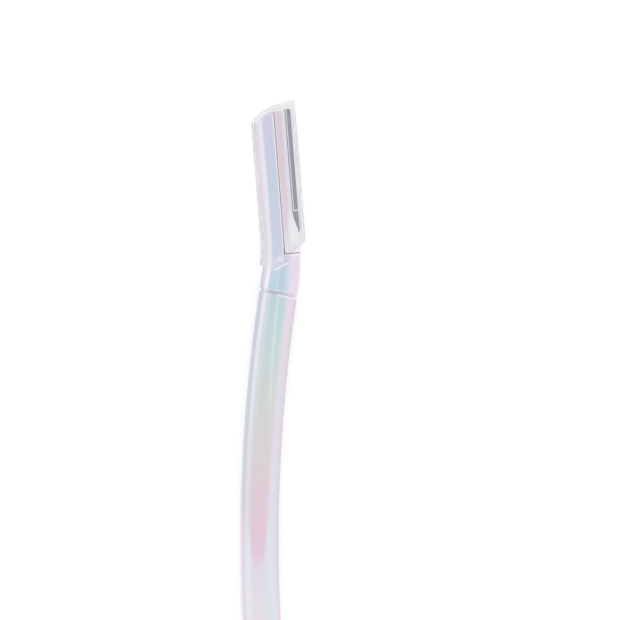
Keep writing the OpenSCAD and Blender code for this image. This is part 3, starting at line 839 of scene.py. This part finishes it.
class Nodes:
    """A node tree with short ways to add nodes. An input is a number, a colour or an output."""

    def __init__(self, tree):
        self.tree = tree
        tree.nodes.clear()

    def add(self, kind, inputs=(), **settings):
        """A new shader node with its settings, and its inputs filled by name or place."""
        node = self.tree.nodes.new("ShaderNode" + kind)
        for name, value in settings.items():
            setattr(node, name, value)
        for name, value in dict(inputs).items():
            self.put(node.inputs[name], value)
        return node

    def out(self, kind, inputs=(), pick=0, **settings):
        """The same, for a node of which only one output is wanted."""
        return Output(self, self.add(kind, inputs, **settings).outputs[pick])

    def put(self, socket, value):
        if isinstance(value, Output):
            self.tree.links.new(value.socket, socket)
        elif socket.type == "RGBA":
            socket.default_value = (*value[:3], 1.0)
        else:
            socket.default_value = value

    def math(self, operation, a, b=0.0, clamp=False):
        return self.out("Math", enumerate([a, b]), operation=operation, use_clamp=clamp)

    def mix(self, factor, a, b):
        return self.out("Mix", {0: factor, 6: a, 7: b}, pick=2, data_type="RGBA")

    def layers(self, painted, layers):
        """A colour with others laid over it in turn, each through its mask."""
        for mask, tint in layers:
            painted = self.mix(mask, painted, tint)
        return painted

    def blend(self, factor, a, b):
        """A mix of two shaders."""
        return self.out("MixShader", enumerate([factor, a, b]))

    def ramp(self, value, stops, interpolation="EASE"):
        """A colour ramp with stops given as a place and a colour."""
        node = self.add("ValToRGB", {"Fac": value})
        node.color_ramp.interpolation = interpolation
        for i, (place_at, colour_at) in enumerate(stops):
            stop = node.color_ramp.elements[i] if i < 2 else node.color_ramp.elements.new(place_at)
            stop.position = place_at
            stop.color = (*colour_at[:3], 1.0)
        return Output(self, node.outputs["Color"])

    def graph(self, value, points):
        """A number read off straight lines between points."""
        stops = [(at, (level,) * 3) for at, level in points]
        return self.red(self.ramp(value, stops, "LINEAR"))

    def use(self, name, make, inputs):
        """A placed copy of a shared effect, which is made when it is first used."""
        group = bpy.data.node_groups.get(name) or make(name)
        node = self.add("Group", inputs, node_tree=group)
        return {socket.name: Output(self, socket) for socket in node.outputs}

    def red(self, mixed):
        return self.out("SeparateColor", {"Color": mixed}, "Red")

    def parts(self, vector):
        node = self.add("SeparateXYZ", {"Vector": vector})
        return [Output(self, socket) for socket in node.outputs]

    def distance(self, a, b):
        """The length of the vector with those two parts."""
        return self.math("SQRT", a * a + b * b)

    def on_object(self):
        """Object coordinates, in metres."""
        return self.out("TexCoord", pick="Object")

    def across_and_along(self):
        """The piece's own UVs, back in millimetres across and along."""
        u, v, _none = self.parts(self.out("UVMap", uv_map="UVMap"))
        return (u - UV_MIDDLE) * MM_PER_UV, v * MM_PER_UV

    def noise(self, scale, detail, at=None):
        at = at or self.on_object()
        return self.out("TexNoise", {"Vector": at, "Scale": scale, "Detail": detail})

    def streaks(self, across, along, squeeze, scale, detail):
        """Noise whose grains are drawn out along the piece, by squeezing its place along it."""
        at = self.out("CombineXYZ", {"X": across, "Y": along * squeeze})
        return self.noise(scale, detail, at)

    def any_ray(self, *kinds):
        """1 where the ray is of one of these kinds."""
        path = self.add("LightPath").outputs
        first, *others = [Output(self, path[f"Is {kind} Ray"]) for kind in kinds]
        for other in others:
            first = first.most(other)
        return first


def shared_group(name, inputs, outputs):
    """An empty shared effect with named inputs and outputs, and its nodes."""
    tree = bpy.data.node_groups.new(name, "ShaderNodeTree")
    for way, titles in (("INPUT", inputs), ("OUTPUT", outputs)):
        for title in titles:
            kind = "NodeSocketColor" if title == "Color" else "NodeSocketFloat"
            tree.interface.new_socket(title, in_out=way, socket_type=kind)
    nodes = Nodes(tree)
    start = tree.nodes.new("NodeGroupInput")
    end = tree.nodes.new("NodeGroupOutput")
    return nodes, {socket.name: Output(nodes, socket) for socket in start.outputs}, end.inputs


def make_soft_band(name):
    """A mask between two lines, with its own softness at each."""
    nodes, given, out = shared_group(
        name, ("Value", "Low", "High", "Low softness", "High softness"), ("Mask",)
    )
    masks = []
    for edge in ("Low", "High"):
        half = given[edge + " softness"] * 0.5
        masks.append(given["Value"].step(given[edge] - half, given[edge] + half))
    nodes.put(out["Mask"], masks[0] * (1 - masks[1]))
    return nodes.tree


def make_pearl_shimmer(name):
    """The pearl film's slow drift of colour, its fine flakes, and the faint waviness under it."""
    nodes, given, out = shared_group(
        name, ("Color", "Drift", "Flakes", "Gloss"), ("Color", "Roughness", "Height")
    )
    at = nodes.on_object()
    slow = nodes.noise(1.0, 3.0, nodes.out("Mapping", {"Vector": at, "Scale": DRIFT_SCALE}))
    flake = nodes.out("TexVoronoi", {"Vector": at, "Scale": FLAKE_SCALE}, "Color")
    spark = nodes.red(flake)
    hue = (slow - 0.5) * given["Drift"]
    value = (spark - 0.5) * given["Flakes"]
    nodes.put(out["Color"], nodes.out("HueSaturation", {
        "Hue": hue + 0.5, "Value": value + 1.0, "Color": given["Color"],
    }))
    grain = (spark - 0.5) * 0.04
    nodes.put(out["Roughness"], nodes.math("ADD", given["Gloss"], grain, clamp=True))
    nodes.put(out["Height"], slow + spark * 0.02)
    return nodes.tree


def make_fine_marks(name):
    """Fine marks of handling or polishing: thin streaks along the piece, over a slow variation."""
    nodes, given, out = shared_group(
        name, ("Across", "Along", "Gloss", "Amount"), ("Roughness", "Streaks", "Height")
    )
    streaks = nodes.streaks(given["Across"], given["Along"], 0.02, 14.0, 6.0)
    both = streaks + nodes.noise(190.0, 2.0) - 1.0
    change = both * given["Amount"]
    nodes.put(out["Roughness"], nodes.math("ADD", given["Gloss"], change, clamp=True))
    nodes.put(out["Streaks"], streaks)
    nodes.put(out["Height"], both)
    return nodes.tree


def new_material(name):
    material = bpy.data.materials.new(name)
    material.use_nodes = True
    return material, Nodes(material.node_tree)


def fine_marks(nodes, across, along, gloss, amount):
    return nodes.use("Fine marks", make_fine_marks, {
        "Across": across, "Along": along, "Gloss": gloss, "Amount": amount,
    })


def to_output(nodes, shader):
    nodes.add("OutputMaterial", {"Surface": shader})


def rough_surface(nodes, painted, marks, strength, distance, more):
    """The material's surface: a painted one with the marks' roughness and relief."""
    relief = {"Strength": strength, "Distance": distance * MM, "Height": marks["Height"]}
    to_output(nodes, nodes.out("BsdfPrincipled", {
        "Base Color": painted, "Roughness": marks["Roughness"],
        "Normal": nodes.out("Bump", relief), **more,
    }))


def pearl_surface(nodes, painted, drift=0.02):
    """Pearl plastic: a painted film, partly like metal, under a clear glossy coat."""
    film = nodes.use("Pearl shimmer", make_pearl_shimmer, {
        "Color": painted, "Drift": drift, "Flakes": 0.008, "Gloss": PEARL_GLOSS,
    })
    rough_surface(nodes, film["Color"], film, 0.05, 0.02, {
        "Metallic": PEARL_METAL, "Coat Weight": 1.0, "Coat Roughness": 0.03, "Coat IOR": 1.5,
        "Thin Film Thickness": 330.0, "Thin Film IOR": 1.38,
    })


def handle_pearl(f, lay):
    """Pearl with a long tinted band down its middle, partly the pearl's tint and partly a painted
    reflection of the dimmer space overhead, which ends in a rounded, ragged tip.
    """
    material, nodes = new_material("Handle pearl")
    across, along = nodes.across_and_along()
    seam = lay.stick.bow_length / MM
    far = along.share(-lay.stick.tail_length / MM, seam)
    band = nodes.ramp(far, [
        (0.35, f.band_tip), (0.44, f.band_low), (0.53, f.band_pink), (0.64, f.band_grey),
        (0.76, f.band_mid), (0.88, f.band_green), (1.0, f.band),
    ])
    flank = nodes.ramp(far, [
        (0.24, f.flank_tail), (0.42, f.flank_low), (0.62, f.flank_mid), (0.9, f.flank),
    ])
    left_edge = nodes.ramp(far, [
        (0.4, f.edge_tail), (0.54, f.edge_low), (0.78, f.edge_mid), (0.98, f.edge),
    ])
    # Below the tip the two sides turn bluer and the middle stays mauve.
    low = 1 - along.step(-6.0, 22.0)
    left_flank = across.band(-4.0, -2.1, 0.8, 1.2) * 0.5 * along.band(2.0, 36.0, 14.0, 22.0)
    # Painted highlight along the left of the stick, fading towards the tail.
    painted_highlight_line = across.band(-3.8, -2.8, 0.7, 0.9) * (along.step(-4.0, 60.0) * 0.6 + 0.02)
    # The band: softer at its right than at its left, and closed by a cubic.
    right = nodes.graph(far, [
        (0.35, 0.42), (0.5, 0.55), (0.68, 0.65), (0.84, 0.62), (0.96, 0.55), (1.0, 0.58),
    ]) * 4.0
    wander = nodes.noise(900.0, 3.0) - 0.5
    fine = nodes.streaks(across, along, 0.012, 3.2, 3.0) - 0.5
    left_soft = along.step(50.0, 0.0) * 0.8 + 0.6
    body = (across + wander * 0.25).band(-2.4, right, left_soft, 1.5)
    cubic = nodes.math("POWER", abs(across + 0.3), 3.0) * 0.75
    above_tip = along + 6.8 - (cubic + (wander + fine) * 5.0)
    strokes = fine * 1.1 + 0.9
    tint_and_painted_reflection_mask = nodes.math("MULTIPLY", body * above_tip.step(-1.0, 3.5), strokes, clamp=True)
    # Two paler lines run up through the band.
    upper = along.step(20.0, 45.0)
    left_line = across.band(-2.3, -1.75, 0.6, 0.6) * upper * 0.22
    right_line = (across + along * 0.04).band(2.2, 2.9, 0.6, 0.6) * upper * 0.26
    # A painted highlight on the lip below the seam, on its right.
    below = seam - (along + across * math.tan(lay.neck.seam_tilt))
    lip = below.band(-0.1, 0.5, 0.1, 0.3) * across.step(-0.8, 1.0) * 0.85
    painted = nodes.layers(flank, [
        (across.band(-3.9, -2.1, 0.6, 1.0) * low, f.stripe_left),
        (across.band(1.5, 3.9, 1.0, 0.7) * low, f.stripe_low),
        (left_flank, f.flank_left),
        (painted_highlight_line, f.painted_stick_highlight),
        (1 - across.step(-4.4, -3.6), left_edge),
        (across.step(4.0, 4.7), nodes.mix(low, f.edge_top, f.edge_right)),
        (tint_and_painted_reflection_mask, band),
        (left_line, f.highlight),
        (right_line, f.highlight),
        (lip, f.lip),
    ])
    pearl_surface(nodes, painted)
    return material


def head_pearl(f, lay):
    """Pearl that turns from teal on the neck to blue and lilac up the head's face."""
    material, nodes = new_material("Head pearl")
    across, along = nodes.across_and_along()
    far = along.share(-10.0, 36.0)
    face = nodes.ramp(far, [
        (0.0, f.band), (0.14, f.neck), (0.2, f.head_low), (0.6, f.head), (0.95, f.head_top),
    ])
    deep = nodes.ramp(far, [
        (0.1, f.neck_deep), (0.25, f.head_deep), (0.7, f.head_right), (1.0, f.head_top),
    ])
    # Stripes on the neck fan out a little towards the seam.
    on_neck = 1 - along.step(-3.0, -1.0)
    fan = across + (along + 6.0) * 0.025 * (across + 3.0)
    # The painted highlight line and the spine's edge lie a little further right on the neck.
    aside = across - (1 - along.step(-1.5, 2.5)) * 0.17
    lean = abs(along - 14.0) * 0.0095 + 0.2
    painted_highlight_line = (aside + lean).band(-3.85, -2.6, 0.5, 0.9) * 0.95
    # Painted highlights on the long seam's left lip and on the bright edge under the clamp's foot.
    lip = across.band(-0.25, 0.2, 0.15, 0.1) * along.step(0.0, 0.6)
    foot = along.band(-0.2, 0.45, 0.2, 0.1) * across.step(0.8, 2.0)
    # The nub in painted light: a paler dome, a painted highlight at its upper left and painted
    # shade at its lower right.
    nub_at = -lay.head.nub_side + bend_shift(lay, -lay.head.nub_drop, -lay.head.nub_side)
    right, up = across - nub_at / MM, along + lay.head.nub_drop / MM
    from_nub = nodes.distance(right, up)
    painted_nub_shade = from_nub.band(0.75, 1.3, 0.3, 0.4) * (right - up).step(0.0, 1.2)
    from_painted_glint = nodes.distance(right + 0.3, up - 0.2)
    level, rise = lay.seam_on_head()
    above_seam = along - (across * rise + level)
    # Painted shade in the seam's groove, and a painted highlight on the neck's lip above it.
    groove = (1 - above_seam.step(0.3, 0.55)) * across.band(-2.3, 1.0, 1.0, 1.4).most(0.3)
    painted_neck_lip_highlight = above_seam.band(0.6, 0.95, 0.1, 0.25) * across.band(-3.0, 2.2, 1.0, 1.0) * 0.55
    # The pocket under the clamp lies in shadow, and shows only as thin dark lines.
    height = nodes.parts(nodes.on_object())[2]
    inside = across.step(0.09, 0.13) * along.step(0.3, 0.4)
    pocket = inside * height.step(lay.mid_z - 0.4 * MM, lay.mid_z - 0.3 * MM)
    painted = nodes.layers(face, [
        (across.step(-1.0, 0.0) * 0.7, deep),
        (fan.band(-3.1, -2.25, 0.3, 0.3) * on_neck * 0.8, f.neck_line),
        (fan.band(-1.1, -0.2, 0.35, 0.35) * on_neck * 0.6, f.neck_pale),
        (fan.band(-0.15, 1.0, 0.25, 0.25) * on_neck * 0.9, f.neck_deep),
        (fan.band(1.0, 2.4, 0.35, 0.35) * on_neck, f.neck_right),
        # Painted highlight along the face's rounded top edge.
        (along.step(34.4, 36.2) * 0.8, f.head_end),
        (fan.step(1.6, 2.0), f.neck_grey),
        (fan.step(2.2, 2.8), f.neck_flank),
        (painted_highlight_line, f.highlight),
        (1 - aside.step(-4.3, -3.7), nodes.ramp(far, [(0.1, f.neck_edge), (0.25, f.spine)])),
        (lip.most(foot), f.lip),
        (painted_nub_shade, f.painted_nub_shade),
        ((1 - from_nub.step(0.6, 0.95)) * 0.85, f.nub),
        ((1 - from_painted_glint.step(0.05, 0.5)) * 0.8, f.lip),
        (groove, f.groove),
        (painted_neck_lip_highlight, f.lip),
        (pocket, f.pocket),
    ])
    pearl_surface(nodes, painted)
    return material


def clamp_pearl(f, _lay):
    """Pearl that is pinkish on the flat and paler and bluer on the slope, with painted highlights
    on the shoulder and the seam edge.
    """
    material, nodes = new_material("Clamp pearl")
    across, along = nodes.across_and_along()
    far = along.share(0.0, 36.0)
    flat = nodes.ramp(far, [(0.0, f.clamp_foot), (0.3, f.clamp), (1.0, f.clamp_top)])
    # Painted highlights on the shoulder beside the heel and along the clamp's edge by the seam.
    facet = along.step(1.8, 3.2) * (1 - along.step(7.0, 12.5)) * across.step(1.2, 2.2)
    painted = nodes.layers(flat, [
        (across.step(1.7, 2.3) * 0.8, f.clamp_slope),
        (facet, f.shoulder),
        (across.band(0.25, 0.55, 0.1, 0.15) * 0.5, f.lip),
    ])
    pearl_surface(nodes, painted, drift=0.012)
    return material


def blade_steel(f, _lay):
    """Brushed steel, with a honed bevel along its edge painted brighter for its bright reflection.
    """
    material, nodes = new_material("Blade steel")
    across, along = nodes.across_and_along()
    marks = fine_marks(nodes, across, along, gloss=0.26, amount=0.25)
    brushed = nodes.mix(marks["Streaks"], f.steel, f.steel_light)
    painted = nodes.mix(across.step(4.2, 4.3), brushed, f.honed_steel_and_sheen)
    rough_surface(nodes, painted, marks, 0.15, 0.01, {"Metallic": 1.0, "Anisotropic": 0.4})
    return material


def guard_plastic(f, _lay):
    """Milky plastic with faint moulding marks."""
    material, nodes = new_material("Guard plastic")
    across, along = nodes.across_and_along()
    marks = fine_marks(nodes, across, along, gloss=0.2, amount=0.1)
    painted = nodes.mix(marks["Streaks"], f.guard, f.guard_light)
    rough_surface(nodes, painted, marks, 0.1, 0.02, {"Specular IOR Level": 0.6})
    return material


def cap_clear(f, lay):
    """Clear plastic with faint rub marks; light passes to what it covers without a hard shadow."""
    material, nodes = new_material("Clear cap")
    across, along = nodes.across_and_along()
    marks = fine_marks(nodes, across, along, gloss=0.02, amount=0.03)
    plastic = nodes.out("BsdfPrincipled", {
        "Base Color": f.cap, "Roughness": marks["Roughness"], "Transmission Weight": 0.9,
        "IOR": 1.36,
    })
    soft_light = nodes.any_ray("Shadow", "Diffuse", "Glossy")
    grazing = nodes.out("LayerWeight", pick="Facing").step(0.45, 1.0)
    wall = nodes.mix(across.step(0.0, 3.0), f.cap_edge, f.cap_edge_right)
    through = nodes.mix(lay.up_the_head(nodes).step(36.0, 37.0), f.cap_through, f.cap_closed)
    taken = nodes.mix(soft_light, nodes.mix(grazing, through, wall), (0.99, 0.99, 0.99))
    thin = soft_light.most(grazing * 0.35 + CAP_CLEARNESS)
    clear = nodes.blend(thin, plastic, nodes.out("BsdfTransparent", {"Color": taken}))
    # A painted highlight along the mouth's rim, drawn as pale rough plastic, and the plastic behind
    # it painted a little paler.
    rim = (1 - along.step(0.35, 0.6)) * across.band(-2.9, 1.0, 0.8, 0.8)
    veil = (1 - along.step(1.0, 5.0)) * (1 - across.step(-0.5, 1.5))
    painted_rim_and_tongue = nodes.out("BsdfPrincipled", {
        "Base Color": nodes.mix(rim, f.cap_veil, f.painted_rim_highlight), "Roughness": 0.5,
    })
    painted_rim_and_tongue_share = (rim * 0.85).most(veil * 0.16) * (1 - soft_light)
    to_output(nodes, nodes.blend(painted_rim_and_tongue_share, clear, painted_rim_and_tongue))
    return material


def floor_white():
    """A pale floor that lets its own shadow show and otherwise reads as white paper."""
    material, nodes = new_material("Pale floor")
    tone = nodes.mix(nodes.noise(900.0, 2.0), (0.6,) * 3, (0.62,) * 3)
    seen = nodes.any_ray("Camera", "Glossy", "Transmission")
    diffuse = nodes.out("BsdfDiffuse", {"Color": tone})
    glow = nodes.out("Emission", {"Strength": seen * FLOOR_GLOW})
    to_output(nodes, nodes.out("AddShader", enumerate([diffuse, glow])))
    return material


def studio_world(name):
    """Soft light from all round, brighter in two long boxes beside the razor."""
    world = bpy.data.worlds.new(name)
    world.use_nodes = True
    nodes = Nodes(world.node_tree)
    # The share is 0 level on the left, a half overhead and 1 level on the right.
    x, _y, z = nodes.parts(nodes.out("TexCoord", pick="Generated"))
    share = nodes.math("ARCTAN2", x, z) * (1 / math.pi) + 0.5
    level = nodes.ramp(share, [
        (0.0, (0.9, 0.9, 0.92)), (0.12, (0.8, 0.81, 0.84)), (0.18, (1.0, 1.0, 1.0)),
        (0.26, (1.0, 1.0, 1.0)), (0.36, (0.93, 0.93, 0.94)), (0.54, (0.93, 0.93, 0.94)),
        (0.66, (1.0, 0.99, 1.0)), (0.9, (1.0, 0.98, 1.0)), (1.0, (0.9, 0.9, 0.92)),
    ])
    around = nodes.out("Background", {"Color": level})
    white = nodes.out("Background", {"Color": (1.0, 1.0, 1.0)})
    direct = nodes.any_ray("Camera", "Transmission")
    nodes.add("OutputWorld", {"Surface": nodes.blend(direct, around, white)})
    return world


class PieceOperator:
    """What the operators for pieces share: they take the settings and place one piece."""

    bl_options = {"REGISTER", "UNDO"}

    def make(self, context, name, shape, node, body, slot, material):
        settings = context.scene.razor
        layout = Layout(settings)
        points, faces, uv = shape(layout)
        # Heights so far are measured from the centreline, and now from the resting plane.
        piece = build(name, points + np.array([0, 0, layout.mid_z]), faces, uv)
        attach(piece, body)
        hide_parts(node)
        piece.data.materials.append(material(settings.finish, layout))
        return {"FINISHED"}


class RAZOR_OT_handle(PieceOperator, bpy.types.Operator):
    """Make the bowed stick, from its rounded tail to the slanted seam"""

    bl_idname = "razor.handle"
    bl_label = "Make handle"

    def execute(self, context):
        return self.make(
            context, "handle_shell", handle_shape, "handle", "razor", "handle_pearl", handle_pearl
        )


class RAZOR_OT_head(PieceOperator, bpy.types.Operator):
    """Make the collar, the neck and the head's frame with its nub"""

    bl_idname = "razor.head"
    bl_label = "Make head frame"

    def execute(self, context):
        return self.make(
            context, "head_shell", head_frame_shape, "head_frame", "razor", "head_pearl", head_pearl
        )


class RAZOR_OT_clamp(PieceOperator, bpy.types.Operator):
    """Make the plate that holds the blade down"""

    bl_idname = "razor.clamp"
    bl_label = "Make blade clamp"

    def execute(self, context):
        return self.make(
            context, "clamp_plate", clamp_shape, "blade_clamp", "razor", "clamp_pearl", clamp_pearl
        )


class RAZOR_OT_blade(PieceOperator, bpy.types.Operator):
    """Make the steel blade"""

    bl_idname = "razor.blade"
    bl_label = "Make blade"

    def execute(self, context):
        return self.make(
            context, "blade_strip", blade_shape, "blade", "razor", "blade_steel", blade_steel
        )


class RAZOR_OT_guard(PieceOperator, bpy.types.Operator):
    """Make the guard round the blade's edge"""

    bl_idname = "razor.guard"
    bl_label = "Make blade guard"

    def execute(self, context):
        return self.make(
            context, "guard_frame", guard_shape, "blade_guard", "razor", "guard_plastic",
            guard_plastic,
        )


class RAZOR_OT_cap(PieceOperator, bpy.types.Operator):
    """Make the clear cap"""

    bl_idname = "razor.cap"
    bl_label = "Make cap"

    def execute(self, context):
        return self.make(context, "cap_shell", cap_shape, "cap", "cap", "cap_clear", cap_clear)


class RAZOR_OT_stage(bpy.types.Operator):
    """Set the camera, the floor and the light"""

    bl_idname = "razor.stage"
    bl_label = "Set the stage"
    bl_options = {"REGISTER", "UNDO"}

    def execute(self, context):
        scene, stage = context.scene, context.scene.razor.stage
        size = stage.floor
        mesh = bpy.data.meshes.new("floor")
        corners = [(-size, -size), (size, -size), (size, size), (-size, size)]
        mesh.from_pydata([(x, y, -stage.floor_drop) for x, y in corners], [], [(0, 1, 2, 3)])
        mesh.materials.append(floor_white())
        floor = bpy.data.objects.new("floor", mesh)
        scene.collection.objects.link(floor)
        lens = bpy.data.cameras.new("camera")
        lens.lens = stage.lens
        lens.clip_end = 10.0
        camera = bpy.data.objects.new("camera", lens)
        camera.location = stage.centre
        camera.location.z += stage.span * stage.lens / lens.sensor_width
        scene.collection.objects.link(camera)
        scene.camera = camera
        scene.world = studio_world("Studio")
        scene.view_settings.view_transform = "Standard"
        return {"FINISHED"}


PIECES = (
    RAZOR_OT_handle, RAZOR_OT_head, RAZOR_OT_clamp, RAZOR_OT_blade, RAZOR_OT_guard, RAZOR_OT_cap,
    RAZOR_OT_stage,
)


class RAZOR_PT_panel(bpy.types.Panel):
    """The sidebar's list of pieces"""

    bl_idname = "RAZOR_PT_panel"
    bl_label = "Eyebrow razor"
    bl_space_type = "VIEW_3D"
    bl_region_type = "UI"
    bl_category = "Razor"

    def draw(self, context):
        settings = context.scene.razor
        for piece in PIECES:
            self.layout.operator(piece.bl_idname)
        for group_name in settings.__annotations__:
            group = getattr(settings, group_name)
            box = self.layout.box()
            for name in group.__annotations__:
                box.prop(group, name)


CLASSES = (
    StickSettings, NeckSettings, HeadSettings, BladeSettings, CapSettings, FinishSettings,
    StageSettings, RazorSettings, *PIECES, RAZOR_PT_panel,
)


def register():
    for each in CLASSES:
        bpy.utils.register_class(each)
    bpy.types.Scene.razor = part(RazorSettings, "Razor", "Sizes and colours of the eyebrow razor")


def unregister():
    del bpy.types.Scene.razor
    for each in reversed(CLASSES):
        bpy.utils.unregister_class(each)


def main():
    """Make every piece in order."""
    register()
    bpy.ops.razor.stage()
    bpy.ops.razor.handle()
    bpy.ops.razor.head()
    bpy.ops.razor.clamp()
    bpy.ops.razor.blade()
    bpy.ops.razor.guard()
    bpy.ops.razor.cap()


if __name__ == "__main__":
    main()
